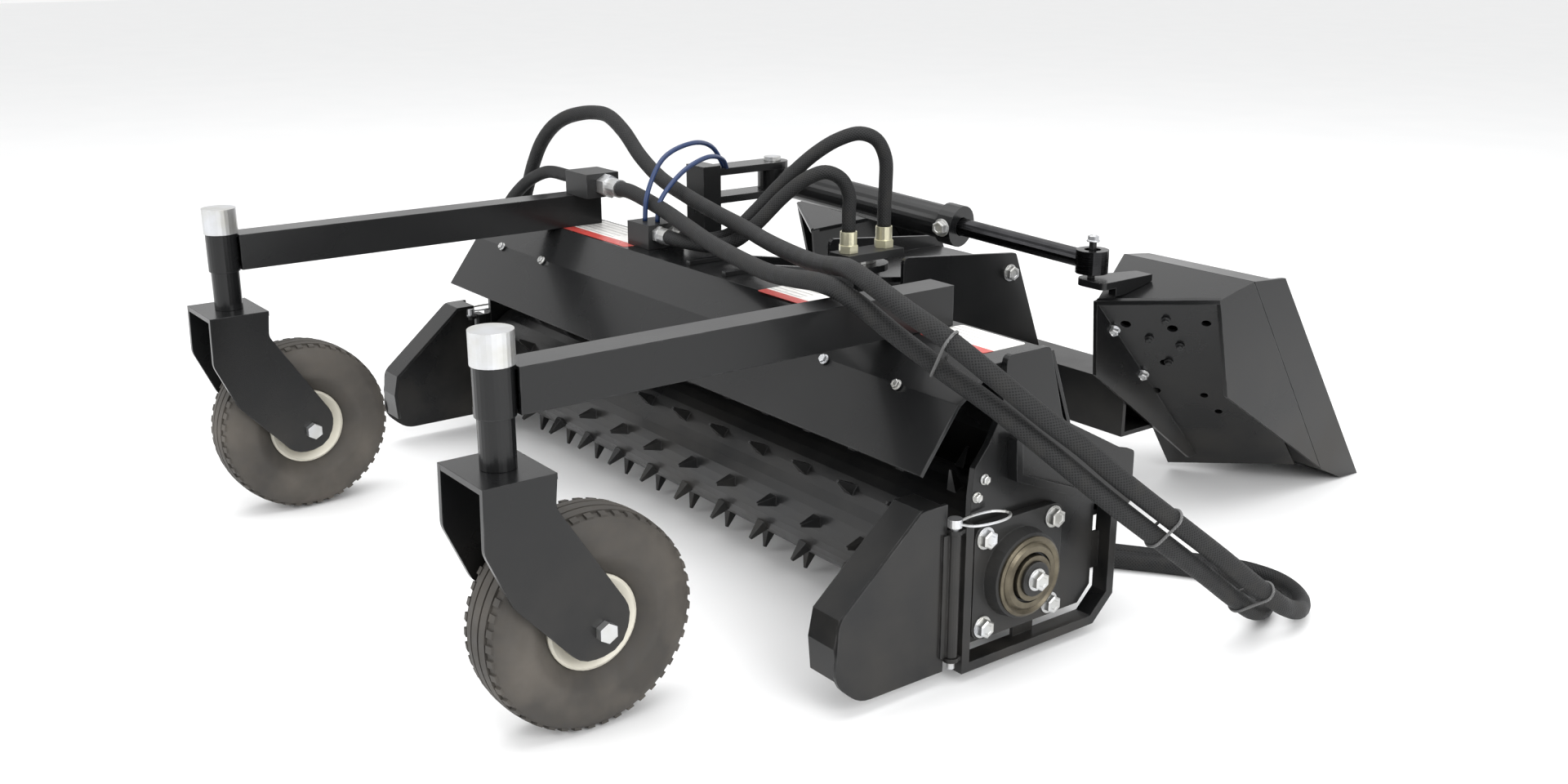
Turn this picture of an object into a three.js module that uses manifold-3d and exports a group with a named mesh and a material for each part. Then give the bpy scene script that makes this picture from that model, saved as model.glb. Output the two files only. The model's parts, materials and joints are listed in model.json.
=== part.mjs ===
// Hydraulic power rake (soil conditioner) for a skid-steer loader.
// Millimetres, +Z up. The roller lies along X, the gauge wheels are at -Y and the
// loader mount is at +Y. The drive motor is at the -X end of the roller.
import * as THREE from 'three';
import { mergeVertices } from 'three/addons/utils/BufferGeometryUtils.js';
import Module from 'manifold-3d';

const wasm = await Module();
wasm.setup();

// ---- driving dimensions ------------------------------------------------------
const GAP = 0.3;                        // clearance left between separate pieces
const ORIGIN_X = -34;               // middle of the machine's width
const ORIGIN_Y = 1017.1;               // middle of its length, from the layout line

const WHEEL_RADIUS = 150;
const TYRE_WIDTH = 95;
const RIM_RADIUS = 66;
const AXLE_Y = 273;
const POST_X = 498;
const POST_Y = 170;
const STEM_RADIUS = 19;
const FORK_TOP = 374;
const FORK_PLATE = 8;
const FORK_INNER = 53;

const ARM_WIDTH = 51;
const ARM_LOW = 442;
const ARM_HIGH = 502;
const ARM_WALL = 5;
const ARM_REAR = 893;
const SLEEVE_RADIUS = 26;

const END_INNER = 703;                  // inner face of each end plate
const END_PLATE = 10;
const END_OUTER = END_INNER + END_PLATE;
const SHEET = 6;                        // hood sheet thickness
const DECK = 441;                       // top of the hood

const ROLLER_Y = 838;
const ROLLER_Z = 140;
const TUBE_RADIUS = 108;
const TUBE_WALL = 9;
const TOOTH_TIP = 139.5;
const TOOTH_BASE = 13;
const TOOTH_ROWS = 10;
const TOOTH_PITCH = 110;
const SHAFT_RADIUS = 25;

const BEAM = { y: 988, z: 172, size: 90, wall: 8 };
const SWING = { x: 0, y: 1150 };
const CYL_BASE = new THREE.Vector3(-360, 1225, 514);
const CYL_EYE = new THREE.Vector3(370, 1362, 450);

const MOUNT_IN = 290;                   // inner and outer ends of each mount half
const MOUNT_OUT = 573;
const FACE_TOP = [1540, 426];           // mount face, seen from its end: Y and Z
const FACE_LOW = [1796, 35];
const CAP_PLATE = 8;

const HOSE = 28;                        // outer diameter of the sleeved main hoses

// ---- materials -----------------------------------------------------------------
const paint = { color: 0x15171a, roughness: 0.28, metalness: 0.35 };
const zinc = { color: 0xb9bcc2, roughness: 0.32, metalness: 0.95 };
const cream = { color: 0xd9d5c2, roughness: 0.45, metalness: 0.1 };
const rubber = { color: 0x2b2925, roughness: 0.85, metalness: 0 };
const sleeve = { color: 0x1b1b1d, roughness: 0.8, metalness: 0 };
const steel = { color: 0x6d6a63, roughness: 0.5, metalness: 0.9 };
const iron = { color: 0x2b2c2c, roughness: 0.5, metalness: 0.6 };

// ---- solids --------------------------------------------------------------------
const AXIS_X = new THREE.Matrix4().makeBasis(
  new THREE.Vector3(0, 1, 0), new THREE.Vector3(0, 0, 1), new THREE.Vector3(1, 0, 0));
const AXIS_Y = new THREE.Matrix4().makeBasis(
  new THREE.Vector3(1, 0, 0), new THREE.Vector3(0, 0, 1), new THREE.Vector3(0, -1, 0));

function solid(geometry) {
  geometry.deleteAttribute('normal');
  geometry.deleteAttribute('uv');
  const merged = mergeVertices(geometry, 1e-4);
  const triVerts = Uint32Array.from(merged.index.array);
  const vertProperties = Float32Array.from(merged.attributes.position.array);
  return new wasm.Manifold(new wasm.Mesh({ numProp: 3, vertProperties, triVerts }));
}

function geometryOf(body) {
  const mesh = body.getMesh();
  const geometry = new THREE.BufferGeometry();
  geometry.setAttribute('position', new THREE.BufferAttribute(mesh.vertProperties, 3));
  geometry.setIndex(new THREE.BufferAttribute(mesh.triVerts, 1));
  geometry.computeVertexNormals();
  return geometry;
}

function mirrorX(body) {
  const mesh = body.getMesh();
  const vertProperties = Float32Array.from(mesh.vertProperties, (v, i) => (i % 3 ? v : -v));
  const triVerts = Uint32Array.from(mesh.triVerts);
  for (let i = 0; i < triVerts.length; i += 3) {
    [triVerts[i], triVerts[i + 1]] = [triVerts[i + 1], triVerts[i]];
  }
  return new wasm.Manifold(new wasm.Mesh({ numProp: 3, vertProperties, triVerts }));
}

// An outline of [a, b, radius] corners, with the rounded corners as arcs.
function outline(corners, steps = 5) {
  const points = [];
  corners.forEach(([a, b, radius = 0], i) => {
    const here = new THREE.Vector2(a, b);
    if (!radius) {
      points.push(here);
      return;
    }
    const before = corners[(i + corners.length - 1) % corners.length];
    const after = corners[(i + 1) % corners.length];
    const toBefore = new THREE.Vector2(before[0] - a, before[1] - b).normalize();
    const toAfter = new THREE.Vector2(after[0] - a, after[1] - b).normalize();
    const half = Math.acos(THREE.MathUtils.clamp(toBefore.dot(toAfter), -1, 1)) / 2;
    const reach = radius / Math.tan(half);
    const start = here.clone().addScaledVector(toBefore, reach);
    const end = here.clone().addScaledVector(toAfter, reach);
    const middle = toBefore.add(toAfter).normalize().multiplyScalar(radius / Math.sin(half));
    const centre = here.clone().add(middle);
    const from = Math.atan2(start.y - centre.y, start.x - centre.x);
    let turn = Math.atan2(end.y - centre.y, end.x - centre.x) - from;
    if (turn > Math.PI) turn -= 2 * Math.PI;
    if (turn < -Math.PI) turn += 2 * Math.PI;
    for (let k = 0; k <= steps; k += 1) {
      const angle = from + (turn * k) / steps;
      points.push(new THREE.Vector2(centre.x + radius * Math.cos(angle),
        centre.y + radius * Math.sin(angle)));
    }
  });
  return points;
}

// A bent sheet's outline: the given line, and the same line moved to its left.
function sheetOutline(line, thickness) {
  const moved = line.map(([a, b], i) => {
    const previous = line[Math.max(i - 1, 0)];
    const next = line[Math.min(i + 1, line.length - 1)];
    const sides = [[previous, [a, b]], [[a, b], next]]
      .filter(([p, q]) => p[0] !== q[0] || p[1] !== q[1])
      .map(([p, q]) => new THREE.Vector2(p[1] - q[1], q[0] - p[0]).normalize());
    const mitre = sides.reduce((sum, side) => sum.clone().add(side)).normalize();
    const reach = thickness / mitre.dot(sides[0]);
    return [a + mitre.x * reach, b + mitre.y * reach];
  });
  return [...line, ...moved.reverse()];
}

function extrude(points, depth, holes = [], curveSegments = 10) {
  const line = points.map((p) => (p.isVector2 ? p : new THREE.Vector2(...p)));
  const shape = new THREE.Shape(THREE.ShapeUtils.isClockWise(line) ? line.reverse() : line);
  shape.holes = holes;
  return new THREE.ExtrudeGeometry(shape, { depth, bevelEnabled: false, curveSegments });
}

function round(a, b, radius) {
  return new THREE.Path().absarc(a, b, radius, 0, 2 * Math.PI, true);
}

// Plates: an outline in (Y, Z) from x0 to x1, in (X, Z) from y0 to y1, or in (X, Y).
function plateX(points, x0, x1, holes) {
  return solid(extrude(points, x1 - x0, holes).applyMatrix4(AXIS_X).translate(x0, 0, 0));
}

function plateY(points, y0, y1, holes) {
  return solid(extrude(points, y1 - y0, holes).applyMatrix4(AXIS_Y).translate(0, y1, 0));
}

function plateZ(points, z0, z1, holes) {
  return solid(extrude(points, z1 - z0, holes).translate(0, 0, z0));
}

function block(x0, x1, y0, y1, z0, z1) {
  const size = [x1 - x0, y1 - y0, z1 - z0];
  const geometry = new THREE.BoxGeometry(...size);
  return solid(geometry.translate((x0 + x1) / 2, (y0 + y1) / 2, (z0 + z1) / 2));
}

function rodBetween(start, end, radius, sides = 20) {
  const line = end.clone().sub(start);
  const geometry = new THREE.CylinderGeometry(radius, radius, line.length(), sides);
  const turn = new THREE.Quaternion().setFromUnitVectors(
    new THREE.Vector3(0, 1, 0), line.clone().normalize());
  geometry.applyQuaternion(turn);
  const middle = start.clone().add(end).multiplyScalar(0.5);
  return solid(geometry.translate(middle.x, middle.y, middle.z));
}

const at = (x, y, z) => new THREE.Vector3(x, y, z);
const rodX = (x0, x1, y, z, radius, sides) => rodBetween(at(x0, y, z), at(x1, y, z), radius, sides);
const rodY = (x, y0, y1, z, radius, sides) => rodBetween(at(x, y0, z), at(x, y1, z), radius, sides);
const rodZ = (x, y, z0, z1, radius, sides) => rodBetween(at(x, y, z0), at(x, y, z1), radius, sides);

// A ring or disc turned about a line along X: profile points are [radius, x].
function turnedX(profile, x, y, z, sides = 32) {
  const points = profile.map(([radius, along]) => new THREE.Vector2(radius, along));
  const geometry = new THREE.LatheGeometry([...points, points[0]], sides);
  return solid(geometry.rotateZ(-Math.PI / 2).translate(x, y, z));
}

function squareTube(half, outer, wall, centreY, centreZ) {
  const ring = (size) => [[centreY - size, centreZ - size], [centreY + size, centreZ - size],
    [centreY + size, centreZ + size], [centreY - size, centreZ + size]];
  const bore = new THREE.Path(ring(outer / 2 - wall).reverse().map((p) => new THREE.Vector2(...p)));
  return plateX(ring(outer / 2), -half, half, [bore]);
}

function hoseAlong(points, diameter, steps, sides = 8) {
  const path = new THREE.CatmullRomCurve3(points.map((p) => at(...p)), false, 'centripetal');
  const section = new THREE.Shape();
  section.absarc(0, 0, diameter / 2, 0, 2 * Math.PI, false);
  const options = { steps, bevelEnabled: false, extrudePath: path, curveSegments: sides / 2 };
  return solid(new THREE.ExtrudeGeometry(section, options));
}

// ---- scene graph -----------------------------------------------------------------
const machine = new THREE.Group();
machine.position.set(-ORIGIN_X, -ORIGIN_Y, 0);

function add(name, body, finish) {
  const material = new THREE.MeshStandardMaterial(finish);
  const mesh = new THREE.Mesh(geometryOf(body), material);
  mesh.name = name;
  machine.add(mesh);
}

// The two ends of the machine are mirror images: make one and turn it over.
function addPair(name, body, finish) {
  add(`${name}_near`, body, finish);
  add(`${name}_far`, mirrorX(body), finish);
}

// ---- hood: one folded sheet over the roller ----------------------------------------
const HOOD_LINE = [[672, 310], [736, 396], [803, DECK], [915, DECK], [981, 262], [981, 172]];
add('hood', plateX(sheetOutline([...HOOD_LINE].reverse(), SHEET), -END_INNER + GAP, END_INNER - GAP),
  paint);

const beamCentre = [BEAM.y + BEAM.size / 2, BEAM.z + BEAM.size / 2];
add('rear_beam', squareTube(END_INNER - GAP, BEAM.size, BEAM.wall, ...beamCentre), paint);

// ---- end plates, bearing, guards ---------------------------------------------------
const END_OUTLINE = outline([[757, 46, 6], [757, 262], [762, 304, 6], [786, 332, 20], [803, 362, 30],
  [812, 400], [815, 452, 10], [897, 452, 10], [930, 340, 20], [1060, 270], [1088, 262, 8],
  [1088, 176, 8], [1006, 196], [1006, 70], [982, 46]], 3);
const shaftHole = () => round(ROLLER_Y, ROLLER_Z, SHAFT_RADIUS + 9);
addPair('end_plate', plateX(END_OUTLINE, END_INNER, END_OUTER, [shaftHole()]), paint);

// Guard: a flat bar bent round the end plate, held off it by weld tabs.
const GUARD_X = [END_INNER + 2, END_OUTER + 20];
const GUARD_BAR = 14;
const HINGE = { x: END_OUTER + 10, y: 719, low: 44, high: 224, pin: 6 };
function guard() {
  const path = [[731, 234], [731, 16], [996, 16], [1036, 54], [1036, 186]];
  const loop = plateX(sheetOutline(path, GUARD_BAR), ...GUARD_X);
  const tabs = [[744, 757 - GAP, 60, 100], [744, 757 - GAP, 196, 234], [850, 890, 29, 46 - GAP],
    [1006 + GAP, 1023, 94, 150]]
    .map(([y0, y1, z0, z1]) => block(END_INNER + 3, END_OUTER - 1, y0, y1, z0, z1));
  const ears = [HINGE.low - 7, HINGE.high + GAP].map((z) => rodZ(HINGE.x, HINGE.y, z, z + 6, 11, 16)
    .add(block(HINGE.x - 8, HINGE.x + 8, HINGE.y, 732, z, z + 6)));
  return [...tabs, ...ears].reduce((body, piece) => body.add(piece), loop)
    .subtract(rodZ(HINGE.x, HINGE.y, 0, 300, HINGE.pin + GAP, 16));
}
addPair('bearing_guard', guard(), paint);
const BRACKET_LINE = [[821, 337], [825, 276], [959, 221]];
addPair('guard_bracket', plateX(sheetOutline(BRACKET_LINE, 12), END_OUTER + GAP, END_OUTER + 18), paint);

const BEARING_X = END_OUTER + GAP;
function flangeBearing() {
  const half = 85;
  const corners = [[-half, -half, 18], [half, -half, 18], [half, half, 18], [-half, half, 18]]
    .map(([a, b, radius]) => [ROLLER_Y + a, ROLLER_Z + b, radius]);
  const flange = plateX(outline(corners, 4), BEARING_X, BEARING_X + 14,
    [round(ROLLER_Y, ROLLER_Z, SHAFT_RADIUS + 9)]);
  const boss = [[SHAFT_RADIUS + 9, 12], [66, 12], [62, 34], [50, 38], [SHAFT_RADIUS + 9, 38]];
  return flange.add(turnedX(boss, BEARING_X, ROLLER_Y, ROLLER_Z));
}
add('bearing_housing', flangeBearing(), iron);
const collar = [[SHAFT_RADIUS + GAP, 2], [SHAFT_RADIUS + 8, 2], [SHAFT_RADIUS + 8, 46],
  [SHAFT_RADIUS + GAP, 46]];
add('bearing_collar', turnedX(collar, BEARING_X, ROLLER_Y, ROLLER_Z, 24), steel);

function driveMotor() {
  const outer = -BEARING_X;
  const flange = block(outer - 20, outer, ROLLER_Y - 72, ROLLER_Y + 72, ROLLER_Z - 60, ROLLER_Z + 60);
  const body = rodX(outer - 118, outer - 19, ROLLER_Y, ROLLER_Z, 52, 24);
  const ports = block(outer - 110, outer - 40, ROLLER_Y - 38, ROLLER_Y + 38, ROLLER_Z + 20,
    ROLLER_Z + 74);
  const bore = rodX(outer - 30, outer + 5, ROLLER_Y, ROLLER_Z, SHAFT_RADIUS + 1, 24);
  return flange.add(body).add(ports).subtract(bore);
}
add('drive_motor', driveMotor(), iron);

// ---- roller: toothed drum on stub shafts ----------------------------------------------
function tooth(x, angle) {
  const root = TUBE_RADIUS - 3;
  const geometry = new THREE.CylinderGeometry(3, TOOTH_BASE, TOOTH_TIP - root, 4, 1);
  geometry.rotateY(Math.PI / 4).translate(0, (TOOTH_TIP + root) / 2, 0);
  geometry.rotateX(angle).translate(x, ROLLER_Y, ROLLER_Z);
  return solid(geometry);
}

function roller() {
  const half = END_INNER - 12;
  const disc = 14;
  const inset = half - 10;
  let body = rodX(-half, half, ROLLER_Y, ROLLER_Z, TUBE_RADIUS, 40);
  body = body.subtract(rodX(-half - 1, half + 1, ROLLER_Y, ROLLER_Z, TUBE_RADIUS - TUBE_WALL, 32));
  for (const side of [-1, 1]) {
    const inner = side * (inset - disc);
    body = body.add(rodX(Math.min(inner, side * inset), Math.max(inner, side * inset),
      ROLLER_Y, ROLLER_Z, TUBE_RADIUS - TUBE_WALL / 2, 32));
    const vent = side * (inset - disc / 2);
    body = body.subtract(rodX(vent - disc, vent + disc, ROLLER_Y, ROLLER_Z + 70, 8, 10));
  }
  body = body.add(rodX(inset - disc, BEARING_X + 50, ROLLER_Y, ROLLER_Z, SHAFT_RADIUS, 24));
  body = body.add(rodX(-BEARING_X - 26, -(inset - disc), ROLLER_Y, ROLLER_Z, SHAFT_RADIUS, 24));
  const count = Math.floor((2 * half - 40) / TOOTH_PITCH);
  for (let row = 0; row < TOOTH_ROWS; row += 1) {
    const shift = ((row % 2) * 0.5 - 0.25) * TOOTH_PITCH;
    for (let k = 0; k < count; k += 1) {
      const x = (k - (count - 1) / 2) * TOOTH_PITCH + shift;
      body = body.add(tooth(x, (row * 2 * Math.PI) / TOOTH_ROWS));
    }
  }
  return body;
}
add('roller', roller(), paint);

// ---- gauge wheels: casters on long arms ------------------------------------------------
function wheelArm() {
  const front = POST_Y + SLEEVE_RADIUS - 4;
  const half = ARM_WIDTH / 2;
  const ring = (inset) => [[POST_X - half + inset, ARM_LOW + inset],
    [POST_X + half - inset, ARM_LOW + inset], [POST_X + half - inset, ARM_HIGH - inset],
    [POST_X - half + inset, ARM_HIGH - inset]];
  const bore = new THREE.Path(ring(ARM_WALL).reverse().map((p) => new THREE.Vector2(...p)));
  const tube = plateY(ring(0), front, ARM_REAR, [bore]);
  const socket = rodZ(POST_X, POST_Y, ARM_LOW - 2, ARM_HIGH + 2, SLEEVE_RADIUS, 28);
  const hole = rodZ(POST_X, POST_Y, ARM_LOW - 9, ARM_HIGH + 9, STEM_RADIUS + 1, 24);
  const inside = block(POST_X - half + ARM_WALL, POST_X + half - ARM_WALL, POST_Y + SLEEVE_RADIUS + 1,
    ARM_REAR + 5, ARM_LOW + ARM_WALL, ARM_HIGH - ARM_WALL);
  return tube.add(socket).subtract(hole).subtract(inside);
}
addPair('wheel_arm', wheelArm(), paint);

const FORK_OUTLINE = outline([[118, FORK_TOP], [116, 292, 30], [150, 214, 30], [240, 112, 40],
  [300, 116, 40], [314, 170, 40], [213, 330, 20], [217, FORK_TOP]], 3);
function fork() {
  const axleHole = () => [round(AXLE_Y, WHEEL_RADIUS, 8.5)];
  const outer = FORK_INNER + FORK_PLATE;
  const top = block(POST_X - outer, POST_X + outer, 118, 217, FORK_TOP - FORK_PLATE, FORK_TOP);
  const cheeks = [[-outer, -FORK_INNER], [FORK_INNER, outer]].map(([x0, x1]) => plateX(
    FORK_OUTLINE, POST_X + x0, POST_X + x1, axleHole()));
  const stem = rodZ(POST_X, POST_Y, FORK_TOP - 2, 541, STEM_RADIUS, 24);
  return top.add(cheeks[0]).add(cheeks[1]).add(stem);
}
addPair('caster_fork', fork(), paint);

function tubeZ(x, y, z0, z1, outer, inner) {
  return rodZ(x, y, z0, z1, outer, 28).subtract(rodZ(x, y, z0 - 5, z1 + 5, inner, 24));
}
addPair('height_spacer', tubeZ(POST_X, POST_Y, FORK_TOP + GAP, ARM_LOW - 2 - GAP, 23, STEM_RADIUS + GAP),
  paint);
const cap = tubeZ(POST_X, POST_Y, ARM_HIGH + 2 + GAP, 543, 28, STEM_RADIUS + GAP);
addPair('post_cap', cap.add(rodZ(POST_X, POST_Y, 541 + GAP, 547, 28, 28)), zinc);

const boltLine = [POST_X - FORK_INNER - FORK_PLATE, POST_X + FORK_INNER + FORK_PLATE];
function axleBolt() {
  const head = 12;
  const shank = rodX(boltLine[0] - head, boltLine[1] + head, AXLE_Y, WHEEL_RADIUS, 8, 16);
  const hex = (x0, x1) => rodX(x0, x1, AXLE_Y, WHEEL_RADIUS, 14, 6);
  return shank.add(hex(boltLine[1] + GAP, boltLine[1] + head)).add(
    hex(boltLine[0] - head, boltLine[0] - GAP));
}
addPair('axle_bolt', axleBolt(), zinc);

function tyre() {
  const half = TYRE_WIDTH / 2;
  const profile = [[RIM_RADIUS - 4, -half + 22], [RIM_RADIUS + 4, -half + 8], [110, -half],
    [135, -half + 3], [146, -half + 16], [WHEEL_RADIUS, -12], [WHEEL_RADIUS, 12],
    [146, half - 16], [135, half - 3], [110, half], [RIM_RADIUS + 4, half - 8],
    [RIM_RADIUS - 4, half - 22]];
  return turnedX(profile, POST_X, AXLE_Y, WHEEL_RADIUS, 36);
}
addPair('tyre', tyre(), rubber);

function rim() {
  const half = TYRE_WIDTH / 2;
  const edge = RIM_RADIUS - 4 - GAP;
  const barrel = [[edge - 5, -half + 20], [edge, -half + 20], [edge, half - 20],
    [edge - 5, half - 20]];
  const disc = [[9, -8], [edge - 3, -8], [edge - 3, 8], [9, 8]];
  const hub = [[8 + GAP, -FORK_INNER + 2], [20, -FORK_INNER + 2], [20, FORK_INNER - 2],
    [8 + GAP, FORK_INNER - 2]];
  const parts = [disc, hub].map((profile) => turnedX(profile, POST_X, AXLE_Y, WHEEL_RADIUS, 28));
  return turnedX(barrel, POST_X, AXLE_Y, WHEEL_RADIUS, 28).add(parts[0]).add(parts[1]);
}
addPair('rim', rim(), cream);

// ---- wings: hinged plates ahead of the end plates, held by wire-lock pins ----------------
function wing() {
  const corners = [[708, 267], [665, 267, 20], [525, 147, 30], [518, 60, 40], [560, 22, 50],
    [708, 22]];
  const x0 = END_OUTER + GAP;
  const face = plateX(outline(corners, 4), x0, x0 + SHEET);
  const lipLine = [[700, 267], [664, 267], [527, 149], [519, 110], [523, 62]];
  const lip = plateX(sheetOutline(lipLine, 6), x0 - 52, x0 + 2);
  const knuckle = rodZ(HINGE.x, HINGE.y, HINGE.low, HINGE.high, 9, 16);
  const strap = block(x0, HINGE.x, 700, HINGE.y, HINGE.low, HINGE.high);
  const hole = rodZ(HINGE.x, HINGE.y, 0, 300, HINGE.pin + GAP, 16);
  return face.add(lip).add(knuckle).add(strap).subtract(hole);
}
addPair('wing', wing(), paint);

function lockPin() {
  const z = HINGE.high + 16;
  const stem = rodZ(HINGE.x, HINGE.y, HINGE.low - 18, z + 6, HINGE.pin, 16);
  const head = rodZ(HINGE.x, HINGE.y, z - 6, z + 6, 10, 16);
  const wire = [[0, 8], [-4, 40], [2, 72], [18, 84], [30, 70], [32, 38], [24, 10], [8, 0]]
    .map(([dx, dy]) => [HINGE.x + dx, HINGE.y + dy, z]);
  return stem.add(head).add(hoseAlong(wire, 4, 28, 6));
}
addPair('lock_pin', lockPin(), zinc);

// ---- swing pivot between the rake and the loader mount --------------------------------
const BEAM_REAR = BEAM.y + BEAM.size;
// Webs tie the bracket's upper ear back over the beam to the hood deck.
function tieWeb(x) {
  const corners = [[815, DECK + GAP], [815, DECK + 8], [902, DECK + 8], [BEAM_REAR, 418],
    [BEAM_REAR + 2, 418], [BEAM_REAR + 2, BEAM.z + BEAM.size + GAP],
    [990, BEAM.z + BEAM.size + GAP], [919, DECK + GAP]];
  return plateX(corners, x, x + 10);
}
const EAR = { upper: 402, lower: 186, plate: 12, half: 58, spine: 14 };
function pivotBracket() {
  const front = BEAM_REAR + GAP;
  const corners = [[-EAR.half, front], [EAR.half, front], [EAR.half, SWING.y + 48, 45],
    [-EAR.half, SWING.y + 48, 45]];
  const hole = () => [round(SWING.x, SWING.y, 26)];
  const ears = [EAR.upper, EAR.lower].map((z) => plateZ(outline(corners), z, z + EAR.plate, hole()));
  const spine = block(-EAR.half, EAR.half, front, front + EAR.spine, EAR.lower,
    EAR.upper + EAR.plate);
  const webs = [-EAR.half, EAR.half - 10].map((x) => tieWeb(x));
  return [spine, ...webs, ears[1]].reduce((body, piece) => body.add(piece), ears[0]);
}
add('pivot_bracket', pivotBracket(), paint);
add('swing_pin', rodZ(SWING.x, SWING.y, EAR.lower - 16, EAR.upper + 20, 25, 24).add(
  rodZ(SWING.x, SWING.y, EAR.upper + EAR.plate + GAP, EAR.upper + 26, 34, 24)), zinc);

const CROSS = { y: 1450, z: 118, size: 100, wall: 8, half: 386 };
const SIDE_IN = 100;
const SIDE_PLATE = 8;
function swingFrame() {
  const side = [[1166, 300, 10], [1166, 436, 10], [1448, 409, 8], [1522, CROSS.z + CROSS.size + GAP],
    [CROSS.y - GAP, CROSS.z + CROSS.size + GAP], [CROSS.y - GAP, 124], [1380, 118, 20], [1230, 214, 20]];
  const cheeks = [[-SIDE_IN - SIDE_PLATE, -SIDE_IN], [SIDE_IN, SIDE_IN + SIDE_PLATE]]
    .map(([x0, x1]) => plateX(outline(side, 3), x0, x1));
  const bearing = rodZ(SWING.x, SWING.y, EAR.lower + EAR.plate + GAP, EAR.upper - GAP, 40, 28);
  const webs = [[230, 10, CROSS.y - 5], [380, 10, 1440]].map(([z, plate, rear]) => plateZ(
    [[-38, SWING.y], [38, SWING.y], [SIDE_IN + 2, 1250], [SIDE_IN + 2, rear],
      [-SIDE_IN - 2, rear], [-SIDE_IN - 2, 1250]], z, z + plate));
  const bore = rodZ(SWING.x, SWING.y, 0, 600, 25 + GAP, 24);
  return [cheeks[1], bearing, ...webs].reduce((body, piece) => body.add(piece), cheeks[0])
    .subtract(bore);
}
add('swing_frame', swingFrame(), paint);

// ---- loader mount: two tilted half plates on a low cross beam ------------------------------
const faceDown = new THREE.Vector2(FACE_LOW[0] - FACE_TOP[0], FACE_LOW[1] - FACE_TOP[1]).normalize();
const faceBack = new THREE.Vector2(-faceDown.y, faceDown.x);
const onFace = (down, back) => [FACE_TOP[0] + faceDown.x * down + faceBack.x * back,
  FACE_TOP[1] + faceDown.y * down + faceBack.y * back];

function attachPlate() {
  const bend = [[1626, 392], [1608, 419], FACE_TOP, FACE_LOW, [1862, 4.3], [1912, 0.3]];
  const sheet = plateX(sheetOutline(bend, 8), MOUNT_IN, MOUNT_OUT - 1);
  const side = [FACE_TOP, FACE_LOW, [1862, 4.3], [1918, 0.3], [1627, 420]];
  const slot = block(400, 480, 1878, 1900, -20, 60);
  return sheet.add(plateX(side, MOUNT_OUT - CAP_PLATE, MOUNT_OUT)).subtract(slot);
}
addPair('attach_plate', attachPlate(), paint);

// Front box of each half: roof, outer gusset, inner gusset and a raked front panel.
const ROOF_FRONT_IN = at(395, 1351, 386);
const ROOF_FRONT_OUT = at(MOUNT_OUT, 1451, 407);
const PANEL_FOOT = at(336, 1660, 0);
function raked(corners, thickness, holes = []) {
  const along = ROOF_FRONT_OUT.clone().sub(ROOF_FRONT_IN).normalize();
  const normal = along.clone().cross(PANEL_FOOT.clone().sub(ROOF_FRONT_IN)).normalize();
  const down = normal.clone().cross(along);
  const frame = new THREE.Matrix4().makeBasis(along, down, normal).setPosition(ROOF_FRONT_IN);
  return solid(extrude(corners, thickness, holes).applyMatrix4(frame));
}

function mountBox() {
  const clear = 1;
  const behind = (down) => onFace(down, -clear);
  const gusset = plateX([[1451, 407], behind(4), behind(462), [1494, 231]],
    MOUNT_OUT - CAP_PLATE, MOUNT_OUT);
  const inner = plateX([[1353, 384], [1363, 251], [1640, 40], behind(440), behind(8)],
    CROSS.half + GAP, CROSS.half + GAP + CAP_PLATE);
  const tilt = Math.atan2(19, 89);
  const roofOutline = [[MOUNT_IN, -clear], [MOUNT_OUT, -clear], [MOUNT_OUT, -91], [395, -193]];
  const roof = solid(extrude(roofOutline, CAP_PLATE).translate(0, 0, -CAP_PLATE).rotateX(tilt)
    .translate(0, ...FACE_TOP));
  const holes = [[40, 62, 9], [118, 74, 9], [92, 168, 8], [66, 250, 9], [150, 262, 7], [170, 310, 7],
    [176, 60, 8]].map(([a, b, radius]) => round(a, b, radius));
  const panel = raked([[0, 0], [205, 0], [290, 470], [58, 478]], 6, holes);
  const beamSpace = block(280, CROSS.half + GAP, CROSS.y - 60, CROSS.y + CROSS.size + 10,
    CROSS.z - 1, CROSS.z + CROSS.size + 110);
  const beforeFace = plateX([[1200, -100], behind(560), behind(-60), [1200, 600]], 280, 580);
  const floor = block(0, 900, 1200, 2000, -200, 4);
  return gusset.add(inner).add(roof).add(panel.subtract(beamSpace)).intersect(beforeFace)
    .subtract(floor);
}
addPair('mount_box', mountBox(), paint);

add('cross_beam', squareTube(CROSS.half, CROSS.size, CROSS.wall, CROSS.y + CROSS.size / 2,
  CROSS.z + CROSS.size / 2), paint);

// ---- swing cylinder --------------------------------------------------------------------
const cylLine = CYL_EYE.clone().sub(CYL_BASE).normalize();
const along = (distance) => CYL_BASE.clone().addScaledVector(cylLine, distance);
const cylLength = CYL_EYE.distanceTo(CYL_BASE);
const BARREL_END = 470;
function eye(centre, radius, hole) {
  return rodZ(centre.x, centre.y, centre.z - 20, centre.z + 20, radius, 24)
    .subtract(rodZ(centre.x, centre.y, centre.z - 60, centre.z + 60, hole, 20));
}
function cylinderBarrel() {
  const tube = rodBetween(along(46), along(BARREL_END), 31, 28);
  const neck = rodBetween(along(16), along(50), 15, 20);
  const gland = rodBetween(along(BARREL_END - 34), along(BARREL_END), 38, 24);
  const bore = rodBetween(along(60), along(BARREL_END - 30), 26, 24);
  const throat = rodBetween(along(BARREL_END - 60), along(BARREL_END + 5), 17, 24);
  const lug = rodZ(CYL_BASE.x, CYL_BASE.y, CYL_BASE.z - 20, CYL_BASE.z + 20, 30, 24);
  return tube.add(neck).add(gland).add(lug).subtract(bore).subtract(throat).subtract(
    rodZ(CYL_BASE.x, CYL_BASE.y, 400, 600, 13, 20));
}
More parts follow.
